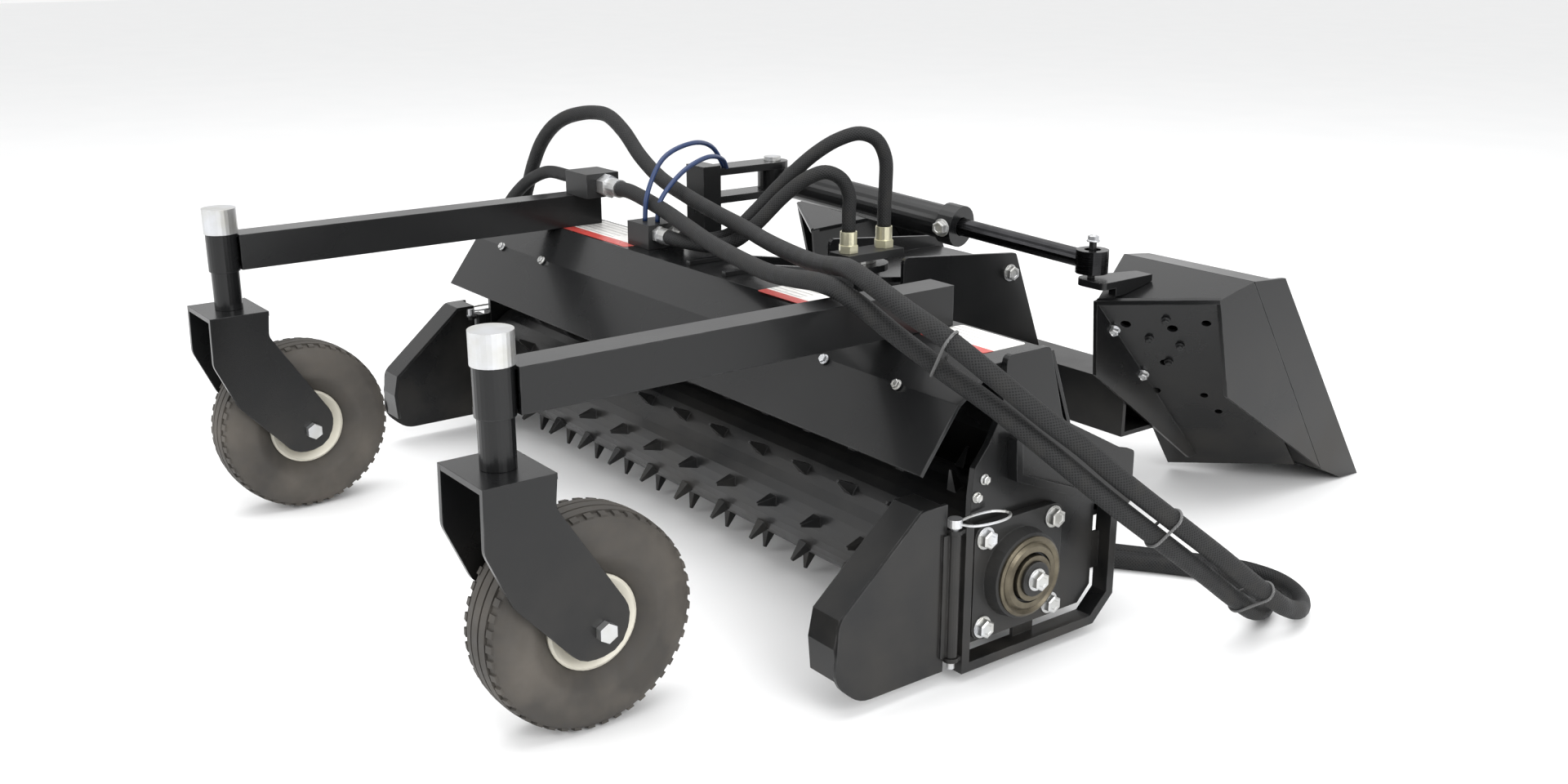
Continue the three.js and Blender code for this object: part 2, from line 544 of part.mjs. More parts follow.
add('cylinder_barrel', cylinderBarrel(), paint);
function cylinderRod() {
  const rod = rodBetween(along(BARREL_END - 150), along(cylLength - 22), 16, 20);
  const piston = rodBetween(along(BARREL_END - 150), along(BARREL_END - 120), 25.5, 24);
  return rod.add(piston).subtract(rodZ(CYL_EYE.x, CYL_EYE.y, 400, 500, 20, 20))
    .add(eye(CYL_EYE, 28, 14.5));
}
add('cylinder_rod', cylinderRod(), steel);

function cylinderAnchor() {
  const x = CYL_BASE.x;
  const foot = block(x - 45, x + 45, BEAM.y + 20, BEAM_REAR, BEAM.z + BEAM.size + GAP,
    BEAM.z + BEAM.size + 12);
  const post = block(x - 30, x + 30, BEAM_REAR - 40, BEAM_REAR, BEAM.z + BEAM.size + 2, 554);
  const tongues = [CYL_BASE.z - 34, CYL_BASE.z + 20 + GAP].map((z) => plateZ(outline(
    [[x - 30, BEAM_REAR - 20], [x + 30, BEAM_REAR - 20], [x + 30, CYL_BASE.y + 30, 28],
      [x - 30, CYL_BASE.y + 30, 28]]), z, z + 13.5, [round(x, CYL_BASE.y, 12.5)]));
  return foot.add(post).add(tongues[0]).add(tongues[1]);
}
add('cylinder_anchor', cylinderAnchor(), paint);
add('anchor_pin', rodZ(CYL_BASE.x, CYL_BASE.y, CYL_BASE.z - 42, CYL_BASE.z + 42, 12, 20).add(
  rodZ(CYL_BASE.x, CYL_BASE.y, CYL_BASE.z + 34, CYL_BASE.z + 42, 17, 20)), zinc);

const LUG_TOP = CYL_EYE.z - 28;
function rodShelf() {
  const y1 = CYL_EYE.y + 100;
  const shelf = plateZ(outline([[CYL_EYE.x - 26, CYL_EYE.y - 26, 22], [CYL_EYE.x + 50, CYL_EYE.y - 26, 10],
    [CYL_EYE.x + 50, y1], [CYL_EYE.x + 14, y1]]), LUG_TOP - 12, LUG_TOP);
  const pin = rodZ(CYL_EYE.x, CYL_EYE.y, LUG_TOP - 2, CYL_EYE.z + 34, 6.5, 16);
  const drop = block(CYL_EYE.x + 34, CYL_EYE.x + 50, CYL_EYE.y + 8, y1, 396, LUG_TOP - 2);
  const below = solid(extrude([[0, -500], [800, -500], [800, 0], [0, 0]], 200).translate(0, 0, -199)
    .rotateX(Math.atan2(19, 89)).translate(0, FACE_TOP[0], FACE_TOP[1]));
  return shelf.add(drop).add(pin).subtract(below);
}
add('rod_lug', rodShelf(), paint);

// ---- hydraulics on the deck -----------------------------------------------------------
const MANIFOLD = { x0: -500, x1: -420, y0: 832, y1: 902, z0: ARM_HIGH + GAP, z1: 548 };
const OUTLET = { y: 872, z: 525, end: -364 };
const manifold = block(MANIFOLD.x0, MANIFOLD.x1, MANIFOLD.y0, MANIFOLD.y1, MANIFOLD.z0, MANIFOLD.z1);
const inlet = rodX(MANIFOLD.x0 - 24, MANIFOLD.x0 + 2, OUTLET.y, OUTLET.z, 17, 6);
add('manifold', manifold.add(inlet), iron);
const outlet = rodX(MANIFOLD.x1 + GAP, MANIFOLD.x1 + 24, OUTLET.y, OUTLET.z, 22, 6).add(
  rodX(MANIFOLD.x1 + 22, OUTLET.end, OUTLET.y, OUTLET.z, 17, 20));
add('outlet_fitting', outlet, zinc);

const PORT = { x: -781, top: ROLLER_Z + 74, fitting: 44 };
const PORT_Y = [864, 812];
PORT_Y.forEach((y, i) => {
  add(`motor_fitting_${i + 1}`, rodZ(PORT.x, y, PORT.top + GAP, PORT.top + 18, 19, 6).add(
    rodZ(PORT.x, y, PORT.top + 16, PORT.top + PORT.fitting, 16, 20)), zinc);
});

// Bulkhead over the swing pivot, and a block on the deck, for the swing cylinder's two lines.
const FEET = [[50, 1168], [50, 1086]];
function bulkhead() {
  const plate = block(24, 78, 1064, 1192, 432, 446);
  return plate.add(block(34, 56, BEAM_REAR + 2, BEAM_REAR + 22, EAR.upper + EAR.plate + GAP, 433));
}
add('bulkhead', bulkhead(), iron);
const DECK_BLOCK = { x0: -270, x1: -200, z: 467 };
add('deck_block', block(DECK_BLOCK.x0, DECK_BLOCK.x1, 828, 904, DECK + GAP, DECK + 44), iron);
FEET.forEach(([x, y], i) => {
  const foot = rodZ(x, y, 446 + GAP, 460, 18, 6).add(rodZ(x, y, 458, 484, 15, 20));
  add(`bulkhead_fitting_${i + 1}`, foot, zinc);
  const side = i ? 850 : 884;
  const start = rodX(DECK_BLOCK.x1 + GAP, DECK_BLOCK.x1 + 12, side, DECK_BLOCK.z, 16, 6);
  add(`deck_fitting_${i + 1}`, start.add(rodX(DECK_BLOCK.x1 + 10, DECK_BLOCK.x1 + 34, side,
    DECK_BLOCK.z, 14, 20)), zinc);
});

// ---- hoses: centre lines of the sleeved hoses -----------------------------------------
const LINE_HOSE = 25;
const SWING_LINES = [
  [[-165.7, 884, 467], [-135, 884, 467], [-104, 898, 468], [-82, 926, 478], [-64, 966, 516],
    [-44, 1010, 564], [-16, 1062, 615], [8, 1096, 640], [30, 1126, 650], [43, 1153, 638],
    [50, 1168, 606], [50, 1170, 560], [50, 1168, 520], [50, 1168, 484.3]],
  [[-165.7, 850, 467], [-136, 850, 467], [-100, 858, 466], [-70, 880, 464], [-50, 912, 472],
    [-34, 946, 500], [-8, 986, 548], [14, 1018, 578], [33, 1046, 590], [45, 1072, 577],
    [50, 1086, 548], [50, 1086, 520], [50, 1086, 484.3]],
];
SWING_LINES.forEach((points, i) => {
  add(`swing_hose_${i + 1}`, hoseAlong(points, LINE_HOSE, 32), sleeve);
});

// Two main hoses: over the near arm, down to the floor, round and back beneath.
const MAIN_LINES = [
  [[PORT.x, PORT_Y[0], 258.3], [PORT.x, PORT_Y[0], 300], [-778, 868, 380], [-764, 876, 440],
    [-742, 880, 490], [-718, 881, 532], [-692, 886, 574], [-660, 895, 608], [-625, 905, 629],
    [-590, 916, 640], [-550, 926, 646], [-506, 933, 644], [-452, 935, 620], [-390, 934, 578],
    [-318, 932, 546], [-220, 926, 526], [-120, 918, 512], [-20, 904, 504], [110, 867, 501],
    [322, 793, 514], [430, 744, 534], [510, 708, 548], [572, 693, 542], [640, 691, 522],
    [712, 708, 490],
    [764, 750, 440], [800, 800, 389], [828, 842, 350], [851, 885, 307], [880, 970, 234],
    [898, 1060, 162], [908, 1140, 98], [910, 1206, 50], [896, 1268, 22], [862, 1318, 15],
    [812, 1344, 15], [756, 1342, 15], [704, 1318, 15], [560, 1220, 15], [497, 1176, 15]],
  [[-363.7, 872, 525], [-330, 872, 525], [-217, 870, 508], [-100, 846, 497], [12, 818, 490],
    [129, 794, 486], [254, 761, 490], [360, 728, 505], [445, 702, 519], [505, 692, 520],
    [560, 691, 506], [620, 703, 476], [680, 728, 440], [738, 762, 400], [782, 800, 356],
    [816, 838, 314], [842, 880, 272], [868, 960, 204], [880, 1046, 136], [880, 1124, 76],
    [872, 1188, 34], [852, 1244, 16], [816, 1284, 15], [768, 1300, 15], [716, 1290, 15],
    [577, 1195, 15], [514, 1151, 15]],
];
const MOTOR_LINE = [[PORT.x, PORT_Y[1], 258.3], [PORT.x, PORT_Y[1], 300], [-776, 816, 372],
  [-752, 832, 440], [-706, 852, 492], [-644, 868, 522], [-566, 872, 525],
  [-524.3, 872, 525]];
add('motor_hose', hoseAlong(MOTOR_LINE, LINE_HOSE, 26), sleeve);
MAIN_LINES.forEach((points, i) => {
  add(`main_hose_${i + 1}`, hoseAlong(points, HOSE, 78), sleeve);
});

// A flat-face coupler closes the free end of each main hose.
MAIN_LINES.forEach((points, i) => {
  const [before, last] = points.slice(-2).map((p) => at(...p));
  const heading = last.clone().sub(before).normalize();
  const pointAt = (distance) => last.clone().addScaledVector(heading, distance);
  const crimp = rodBetween(pointAt(GAP), pointAt(34), 14, 20);
  const body = rodBetween(pointAt(32), pointAt(88), 13.5, 20);
  const nut = rodBetween(pointAt(44), pointAt(58), 14, 6);
  add(`main_coupler_${i + 1}`, crimp.add(body).add(nut), zinc);
});

export default machine;
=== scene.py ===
import bpy
import bmesh
import json
import math
from mathutils import Matrix, Vector

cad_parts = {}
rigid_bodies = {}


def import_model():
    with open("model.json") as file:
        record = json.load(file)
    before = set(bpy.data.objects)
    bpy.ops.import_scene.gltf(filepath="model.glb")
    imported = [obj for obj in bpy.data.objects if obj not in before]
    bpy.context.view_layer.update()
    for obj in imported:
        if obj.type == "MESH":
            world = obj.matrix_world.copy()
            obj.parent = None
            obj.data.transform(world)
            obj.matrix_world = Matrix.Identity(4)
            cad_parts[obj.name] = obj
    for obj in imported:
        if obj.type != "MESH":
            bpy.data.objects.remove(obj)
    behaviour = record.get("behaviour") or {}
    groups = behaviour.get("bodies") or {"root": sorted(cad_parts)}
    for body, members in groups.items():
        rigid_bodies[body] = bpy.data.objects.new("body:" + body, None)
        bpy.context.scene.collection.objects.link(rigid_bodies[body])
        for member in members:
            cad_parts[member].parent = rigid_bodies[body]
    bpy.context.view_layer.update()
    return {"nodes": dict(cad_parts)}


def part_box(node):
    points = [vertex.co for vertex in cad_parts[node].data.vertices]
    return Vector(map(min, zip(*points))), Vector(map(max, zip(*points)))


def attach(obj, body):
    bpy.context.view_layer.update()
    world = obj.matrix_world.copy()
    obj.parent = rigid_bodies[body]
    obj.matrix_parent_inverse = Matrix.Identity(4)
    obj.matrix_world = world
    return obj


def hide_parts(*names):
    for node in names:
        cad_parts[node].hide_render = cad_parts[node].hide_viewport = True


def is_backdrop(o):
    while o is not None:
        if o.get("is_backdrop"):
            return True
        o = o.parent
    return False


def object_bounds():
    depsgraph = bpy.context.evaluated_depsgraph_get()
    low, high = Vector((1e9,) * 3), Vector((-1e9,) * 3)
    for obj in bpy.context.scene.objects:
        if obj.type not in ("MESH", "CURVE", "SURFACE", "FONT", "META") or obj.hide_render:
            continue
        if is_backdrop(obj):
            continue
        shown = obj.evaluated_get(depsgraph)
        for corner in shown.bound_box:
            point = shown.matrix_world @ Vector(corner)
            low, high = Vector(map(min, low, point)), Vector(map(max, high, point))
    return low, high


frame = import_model()
nodes = frame["nodes"]

# ---- camera, floor and light -------------------------------------------------------
# A plain pale studio: one level floor, a large soft top light, a broad key from the
# bearing end and a weak fill from the wheel side.
camera = bpy.data.objects.new("camera", bpy.data.cameras.new("camera"))
bpy.context.scene.collection.objects.link(camera)
camera.data.sensor_width = 36
camera.data.lens = 35
camera.data.clip_end = 100
camera.location = (2.1236, -1.6208, 1.0047)
look = Vector((-0.7614, 0.5775, -0.2949)).normalized()
side = Vector((0.6043, 0.7967, 0)).normalized()
rise = side.cross(look).normalized()
camera.rotation_mode = "QUATERNION"
camera.rotation_quaternion = Matrix((side, rise, -look)).transposed().to_quaternion()
bpy.context.scene.camera = camera
bpy.context.scene.view_settings.view_transform = "Standard"

world = bpy.data.worlds.new("studio")
world.use_nodes = True
world.node_tree.nodes["Background"].inputs["Color"].default_value = (1.0, 1.0, 1.0, 1)
world.node_tree.nodes["Background"].inputs["Strength"].default_value = 0.95
bpy.context.scene.world = world


def soft_light(name, place, aim, size, power):
    lamp = bpy.data.lights.new(name, "AREA")
    lamp.shape = "RECTANGLE"
    lamp.size, lamp.size_y = size
    lamp.energy = power
    thing = bpy.data.objects.new(name, lamp)
    bpy.context.scene.collection.objects.link(thing)
    thing.location = place
    thing.rotation_mode = "QUATERNION"
    thing.rotation_quaternion = (Vector(aim) - Vector(place)).to_track_quat("-Z", "Y")


soft_light("top_light", (0, 0, 4.2), (0, 0, 0), (5.0, 5.0), 150)
soft_light("key_light", (4.6, -0.6, 2.6), (0, 0, 0.2), (2.6, 2.2), 130)
soft_light("fill_light", (-1.5, -4.6, 2.4), (0, 0, 0.3), (3.4, 2.0), 70)

for thing in bpy.context.selected_objects:
    thing.select_set(False)
bpy.ops.mesh.primitive_plane_add(size=40, location=(0, 0, 0))
floor = bpy.context.object
floor.name = "floor"
floor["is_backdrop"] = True


def material(name):
    made = bpy.data.materials.new(name)
    made.use_nodes = True
    return made, made.node_tree, made.node_tree.nodes["Principled BSDF"]


def wire(tree, kind, settings=(), **inputs):
    """Adds a node and links or sets its inputs, by name or, as n0, n1, by number."""
    node = tree.nodes.new(kind)
    for key, value in dict(settings).items():
        setattr(node, key, value)
    for key, value in inputs.items():
        socket = node.inputs[int(key[1:])] if key[0] == "n" and key[1:].isdigit() else node.inputs[key]
        if isinstance(value, bpy.types.NodeSocket):
            tree.links.new(value, socket)
        else:
            socket.default_value = value
    return node


def blend_colour(tree, amount, a, b):
    return wire(tree, "ShaderNodeMix", {"data_type": "RGBA"}, n0=amount, n6=a, n7=b).outputs[2]


def cloud(tree, place, scale, detail=3.0):
    return wire(tree, "ShaderNodeTexNoise", Vector=place, Scale=scale, Detail=detail).outputs[0]


pale, tree, shader = material("pale_floor")
place = wire(tree, "ShaderNodeTexCoord").outputs["Object"]
speck = cloud(tree, place, 3.0)
tree.links.new(blend_colour(tree, speck, (0.86, 0.865, 0.87, 1), (0.9, 0.9, 0.9, 1)),
               shader.inputs["Base Color"])
shader.inputs["Roughness"].default_value = 0.6
floor.data.materials.append(pale)

# ---- main hoses --------------------------------------------------------------------
# Two steel-braided hydraulic hoses in woven nylon sleeves. One leaves the drive motor,
# the other the manifold on the far arm. They end in flat-face couplers on the floor.
HOSE = 0.028
ORIGIN = Vector((-0.034, 1.0171, 0))
MAIN_ROUTES = [
    [(-0.781, 0.864, 0.2583), (-0.781, 0.864, 0.3), (-0.778, 0.868, 0.38),
     (-0.764, 0.876, 0.44), (-0.742, 0.88, 0.49), (-0.718, 0.881, 0.532),
     (-0.692, 0.886, 0.574), (-0.66, 0.895, 0.608), (-0.625, 0.905, 0.629),
     (-0.59, 0.916, 0.64), (-0.55, 0.926, 0.646), (-0.506, 0.933, 0.644),
     (-0.452, 0.935, 0.62), (-0.39, 0.934, 0.578), (-0.318, 0.932, 0.546),
     (-0.22, 0.926, 0.526), (-0.12, 0.918, 0.512), (-0.02, 0.904, 0.504),
     (0.11, 0.867, 0.501), (0.322, 0.793, 0.514), (0.43, 0.744, 0.534),
     (0.51, 0.708, 0.548), (0.572, 0.693, 0.542), (0.64, 0.691, 0.522),
     (0.712, 0.708, 0.49), (0.764, 0.75, 0.44), (0.8, 0.8, 0.389), (0.828, 0.842, 0.35),
     (0.851, 0.885, 0.307), (0.88, 0.97, 0.234), (0.898, 1.06, 0.162),
     (0.908, 1.14, 0.098), (0.91, 1.206, 0.05), (0.896, 1.268, 0.022),
     (0.862, 1.318, 0.015), (0.812, 1.344, 0.015), (0.756, 1.342, 0.015),
     (0.704, 1.318, 0.015), (0.56, 1.22, 0.015), (0.497, 1.176, 0.015)],
    [(-0.3637, 0.872, 0.525), (-0.33, 0.872, 0.525), (-0.217, 0.87, 0.508),
     (-0.1, 0.846, 0.497), (0.012, 0.818, 0.49), (0.129, 0.794, 0.486),
     (0.254, 0.761, 0.49), (0.36, 0.728, 0.505), (0.445, 0.702, 0.519),
     (0.505, 0.692, 0.52), (0.56, 0.691, 0.506), (0.62, 0.703, 0.476),
     (0.68, 0.728, 0.44), (0.738, 0.762, 0.4), (0.782, 0.8, 0.356), (0.816, 0.838, 0.314),
     (0.842, 0.88, 0.272), (0.868, 0.96, 0.204), (0.88, 1.046, 0.136),
     (0.88, 1.124, 0.076), (0.872, 1.188, 0.034), (0.852, 1.244, 0.016),
     (0.816, 1.284, 0.015), (0.768, 1.3, 0.015), (0.716, 1.29, 0.015),
     (0.577, 1.195, 0.015), (0.514, 1.151, 0.015)],
]


def hose_line(route, step=0.006):
    """The smooth centre line through a route's points, evenly fine, in the frame."""
    points = [Vector(p) - ORIGIN for p in route]
    points = [points[0] * 2 - points[1]] + points + [points[-1] * 2 - points[-2]]
    line = []
    for p0, p1, p2, p3 in zip(points, points[1:], points[2:], points[3:]):
        d0, d1, d2 = ((b - a).length ** 0.5 for a, b in ((p0, p1), (p1, p2), (p2, p3)))
        t1 = ((p1 - p0) / d0 - (p2 - p0) / (d0 + d1) + (p2 - p1) / d1) * d1
        t2 = ((p2 - p1) / d1 - (p3 - p1) / (d1 + d2) + (p3 - p2) / d2) * d1
        count = max(2, round((p2 - p1).length / step))
        for k in range(count):
            t = k / count
            line.append(p1 + t1 * t + (p2 * 3 - p1 * 3 - t1 * 2 - t2) * t ** 2
                        + (p1 * 2 - p2 * 2 + t1 + t2) * t ** 3)
    return line + [points[-2]]


def hose_tube(name, line, diameter, sides=16):
    """A closed round tube along a line, with a UV map in metres round and along it."""
    mesh = bmesh.new()
    chart = mesh.loops.layers.uv.new("UVMap")
    heading = (line[1] - line[0]).normalized()
    out = heading.orthogonal().normalized()
    rings, travelled = [], 0.0
    for k, middle in enumerate(line):
        ahead = (line[min(k + 1, len(line) - 1)] - line[max(k - 1, 0)]).normalized()
        out = (heading.rotation_difference(ahead) @ out).normalized()
        heading = ahead
        across = heading.cross(out)
        if k:
            travelled += (middle - line[k - 1]).length
        angles = [2 * math.pi * i / sides for i in range(sides)]
        ring = [mesh.verts.new(middle + (out * math.cos(a) + across * math.sin(a)) * diameter / 2)
                for a in angles]
        rings.append((ring, travelled))
    girth = math.pi * diameter
    for (low, start), (high, end) in zip(rings, rings[1:]):
        for i in range(sides):
            j = (i + 1) % sides
            face = mesh.faces.new((low[i], low[j], high[j], high[i]))
            face.smooth = True
            corners = ((i, start), (i + 1, start), (i + 1, end), (i, end))
            for loop, (turn, along) in zip(face.loops, corners):
                loop[chart].uv = (girth * turn / sides, along)
    mesh.faces.new(list(reversed(rings[0][0])))
    mesh.faces.new(rings[-1][0])
    made = bpy.data.meshes.new(name)
    mesh.to_mesh(made)
    mesh.free()
    piece = bpy.data.objects.new(name, made)
    bpy.context.scene.collection.objects.link(piece)
    return piece


def sums(tree, how, a, b):
    return wire(tree, "ShaderNodeMath", {"operation": how}, n0=a, n1=b).outputs[0]


def remap(tree, value, low, high, to_low=0.0, to_high=1.0):
    made = wire(tree, "ShaderNodeMapRange", n0=value, n1=low, n2=high, n3=to_low, n4=to_high)
    return made.outputs[0]


woven, tree, shader = material("woven_sleeve")
chart = wire(tree, "ShaderNodeTexCoord").outputs["UV"]
split = wire(tree, "ShaderNodeSeparateXYZ", Vector=chart)
STRAND = 0.0055
left = sums(tree, "SINE", sums(tree, "MULTIPLY", sums(
    tree, "ADD", split.outputs[0], split.outputs[1]), 2 * math.pi / STRAND), 0.0)
right = sums(tree, "SINE", sums(tree, "MULTIPLY", sums(
    tree, "SUBTRACT", split.outputs[0], split.outputs[1]), 2 * math.pi / STRAND), 0.0)
weave = sums(tree, "MAXIMUM", left, right)
patchy = cloud(tree, chart, 26.0)
shade = blend_colour(tree, remap(tree, weave, -0.4, 1.0), (0.003, 0.003, 0.0035, 1),
                     (0.02, 0.0205, 0.021, 1))
tree.links.new(blend_colour(tree, remap(tree, patchy, 0.5, 0.8, 0.0, 0.5), shade,
                            (0.04, 0.038, 0.034, 1)), shader.inputs["Base Color"])
tree.links.new(remap(tree, patchy, 0.3, 0.7, 0.5, 0.72), shader.inputs["Roughness"])
shader.inputs["Specular IOR Level"].default_value = 0.25
bump = wire(tree, "ShaderNodeBump", Height=weave, Strength=0.5, Distance=0.0006)
tree.links.new(bump.outputs[0], shader.inputs["Normal"])

for number, route in enumerate(MAIN_ROUTES, 1):
    line = hose_line(route)
    hose = hose_tube(f"main_sleeve_{number}", line, HOSE)
    hose.data.materials.append(woven)
    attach(hose, "rake")
    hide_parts(f"main_hose_{number}")

# ---- motor and swing hoses -------------------------------------------------------------
# Shorter sleeved hoses, held at both ends: one from the manifold to the drive motor, two
# from the deck block up and over to the fittings above the swing pivot.
LINE_HOSE = 0.025
HELD_ROUTES = {
    "motor_hose": [(-0.781, 0.812, 0.2583), (-0.781, 0.812, 0.3), (-0.776, 0.816, 0.372),
                   (-0.752, 0.832, 0.44), (-0.706, 0.852, 0.492), (-0.644, 0.868, 0.522),
                   (-0.566, 0.872, 0.525), (-0.5243, 0.872, 0.525)],
    "swing_hose_1": [(-0.1657, 0.884, 0.467), (-0.135, 0.884, 0.467), (-0.104, 0.898, 0.468),
                     (-0.082, 0.926, 0.478), (-0.064, 0.966, 0.516), (-0.044, 1.01, 0.564),
                     (-0.016, 1.062, 0.615), (0.008, 1.096, 0.64), (0.03, 1.126, 0.65),
                     (0.043, 1.153, 0.638), (0.05, 1.168, 0.606), (0.05, 1.17, 0.56),
                     (0.05, 1.168, 0.52), (0.05, 1.168, 0.4843)],
    "swing_hose_2": [(-0.1657, 0.85, 0.467), (-0.136, 0.85, 0.467), (-0.1, 0.858, 0.466),
                     (-0.07, 0.88, 0.464), (-0.05, 0.912, 0.472), (-0.034, 0.946, 0.5),
                     (-0.008, 0.986, 0.548), (0.014, 1.018, 0.578), (0.033, 1.046, 0.59),
                     (0.045, 1.072, 0.577), (0.05, 1.086, 0.548), (0.05, 1.086, 0.52),
                     (0.05, 1.086, 0.4843)],
}
for node, route in HELD_ROUTES.items():
    hose = hose_tube(node.replace("hose", "sleeve"), hose_line(route), LINE_HOSE)
    hose.data.materials.append(woven)
    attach(hose, "rake")
    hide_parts(node)

# ---- thin control lines ----------------------------------------------------------------
# Two small blue-black rubber lines looping from the deck block to the plate that carries
# the swing cylinder's base pin.
rubber_line, tree, shader = material("smooth_rubber_line")
chart = wire(tree, "ShaderNodeTexCoord").outputs["UV"]
scuff = cloud(tree, chart, 60.0)
tree.links.new(blend_colour(tree, scuff, (0.006, 0.016, 0.06, 1), (0.012, 0.04, 0.13, 1)),
               shader.inputs["Base Color"])
tree.links.new(remap(tree, scuff, 0.3, 0.7, 0.3, 0.5), shader.inputs["Roughness"])
CONTROL_ROUTES = [
    [(-0.245, 0.85, 0.4853), (-0.246, 0.856, 0.53), (-0.26, 0.9, 0.59), (-0.285, 0.98, 0.61),
     (-0.33, 1.06, 0.59), (-0.35, 1.1, 0.5465)],
    [(-0.222, 0.862, 0.4853), (-0.222, 0.868, 0.52), (-0.232, 0.92, 0.565),
     (-0.262, 1.0, 0.585), (-0.305, 1.065, 0.57), (-0.338, 1.098, 0.545)],
]
for number, route in enumerate(CONTROL_ROUTES, 1):
    thin = hose_tube(f"control_line_{number}", hose_line(route), 0.009, 12)
    thin.data.materials.append(rubber_line)
    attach(thin, "rake")

# ---- black paint -------------------------------------------------------------------------
# Gloss black powder coat over welded steel plate: faint orange peel, softened edges, a paler edge
# band that is partly edge wear and partly a painted highlight, dust low down where the soil is thrown.
coat = bpy.data.node_groups.new("powder_coat_wear_and_edge_highlight", "ShaderNodeTree")
for name in ("Edge", "Dust", "Peel", "Blotch"):
    coat.interface.new_socket(name=name, in_out="OUTPUT", socket_type="NodeSocketFloat")
results = coat.nodes.new("NodeGroupOutput")
place = wire(coat, "ShaderNodeTexCoord").outputs["Object"]
softened = wire(coat, "ShaderNodeBevel", {"samples": 4}, Radius=0.003).outputs[0]
plain = wire(coat, "ShaderNodeNewGeometry").outputs["Normal"]
agree = wire(coat, "ShaderNodeVectorMath", {"operation": "DOT_PRODUCT"}, n0=softened, n1=plain)
# Edge mask: partly edge wear, partly a painted highlight along the edges.
edge_wear_and_highlight = remap(coat, agree.outputs["Value"], 0.995, 0.86)
broken = remap(coat, cloud(coat, place, 34.0, 5.0), 0.42, 0.62)
height = wire(coat, "ShaderNodeSeparateXYZ", Vector=place).outputs[2]
low_down = remap(coat, height, 0.34, 0.03)
drift = remap(coat, cloud(coat, place, 9.0, 6.0), 0.4, 0.7)
coat.links.new(sums(coat, "MULTIPLY", edge_wear_and_highlight, broken), results.inputs["Edge"])
coat.links.new(sums(coat, "MULTIPLY", low_down, drift), results.inputs["Dust"])
coat.links.new(cloud(coat, place, 420.0, 2.0), results.inputs["Peel"])
coat.links.new(cloud(coat, place, 3.5, 4.0), results.inputs["Blotch"])


def painted(name, dark, light, gloss, shine=0.28):
    made, tree, shader = material(name)
    wear_and_highlight = tree.nodes.new("ShaderNodeGroup")
    wear_and_highlight.node_tree = coat
    tone = blend_colour(tree, wear_and_highlight.outputs["Blotch"], dark, light)
    # Edges blended towards grey: on the black coats a paler edge, partly edge wear and partly a painted
    # highlight.
    tone = blend_colour(tree, sums(tree, "MULTIPLY", wear_and_highlight.outputs["Edge"], 0.55), tone,
                        (0.07, 0.07, 0.072, 1))
    tone = blend_colour(tree, sums(tree, "MULTIPLY", wear_and_highlight.outputs["Dust"], 0.3), tone,
                        (0.075, 0.067, 0.056, 1))
    tree.links.new(tone, shader.inputs["Base Color"])
    rough = remap(tree, wear_and_highlight.outputs["Blotch"], 0.3, 0.7, gloss, gloss + 0.12)
    rough = sums(tree, "ADD", rough, sums(tree, "MULTIPLY", wear_and_highlight.outputs["Dust"], 0.25))
    tree.links.new(rough, shader.inputs["Roughness"])
    shader.inputs["Specular IOR Level"].default_value = shine
    shader.inputs["Coat Weight"].default_value = 0.12
    shader.inputs["Coat Roughness"].default_value = 0.12
    rounded = wire(tree, "ShaderNodeBevel", {"samples": 4}, Radius=0.0016).outputs[0]
    bump = wire(tree, "ShaderNodeBump", Height=wear_and_highlight.outputs["Peel"], Normal=rounded,
                Strength=0.12, Distance=0.0004)
    tree.links.new(bump.outputs[0], shader.inputs["Normal"])
    return made


black_paint = painted("black_powder_coat", (0.0045, 0.0047, 0.005, 1),
                      (0.0095, 0.0098, 0.0102, 1), 0.22)
dark_paint = painted("black_paint_on_castings", (0.008, 0.0083, 0.0085, 1),
                     (0.018, 0.0185, 0.019, 1), 0.4)

PAINTED = ["hood", "rear_beam", "end_plate_near", "end_plate_far", "bearing_guard_near",
           "bearing_guard_far", "guard_bracket_near", "guard_bracket_far", "roller",
           "wheel_arm_near", "wheel_arm_far", "caster_fork_near", "caster_fork_far",
           "height_spacer_near", "height_spacer_far", "wing_near", "wing_far", "pivot_bracket",
           "swing_frame", "mount_box_near", "mount_box_far", "attach_plate_near",
           "attach_plate_far", "cross_beam", "cylinder_barrel", "cylinder_anchor", "rod_lug"]


def finish_node(name, made):
    nodes[name].data.materials.clear()
    nodes[name].data.materials.append(made)


for name in PAINTED:
    finish_node(name, black_paint)
for name in ("drive_motor", "manifold", "bulkhead", "deck_block"):
    finish_node(name, dark_paint)

# ---- zinc-plated pins, caps and fittings ----------------------------------------------------
# Bright zinc plate over turned steel, with a slight yellow passivate and fine turning lines.
def plated(name, cool, warm, gloss, metal=1.0):
    made, tree, shader = material(name)
    place = wire(tree, "ShaderNodeTexCoord").outputs["Object"]
    patch = cloud(tree, place, 24.0, 4.0)
    lines = wire(tree, "ShaderNodeTexNoise", Vector=wire(
        tree, "ShaderNodeMapping", Vector=place, Scale=(40, 40, 900)).outputs[0],
        Scale=1.0, Detail=2.0).outputs[0]
    tree.links.new(blend_colour(tree, remap(tree, patch, 0.35, 0.7), cool, warm),
                   shader.inputs["Base Color"])
    tree.links.new(remap(tree, lines, 0.3, 0.7, gloss, gloss + 0.16), shader.inputs["Roughness"])
    shader.inputs["Metallic"].default_value = metal
    rounded = wire(tree, "ShaderNodeBevel", {"samples": 4}, Radius=0.001).outputs[0]
    bump = wire(tree, "ShaderNodeBump", Height=lines, Normal=rounded, Strength=0.1,
                Distance=0.0003)
    tree.links.new(bump.outputs[0], shader.inputs["Normal"])
    return made


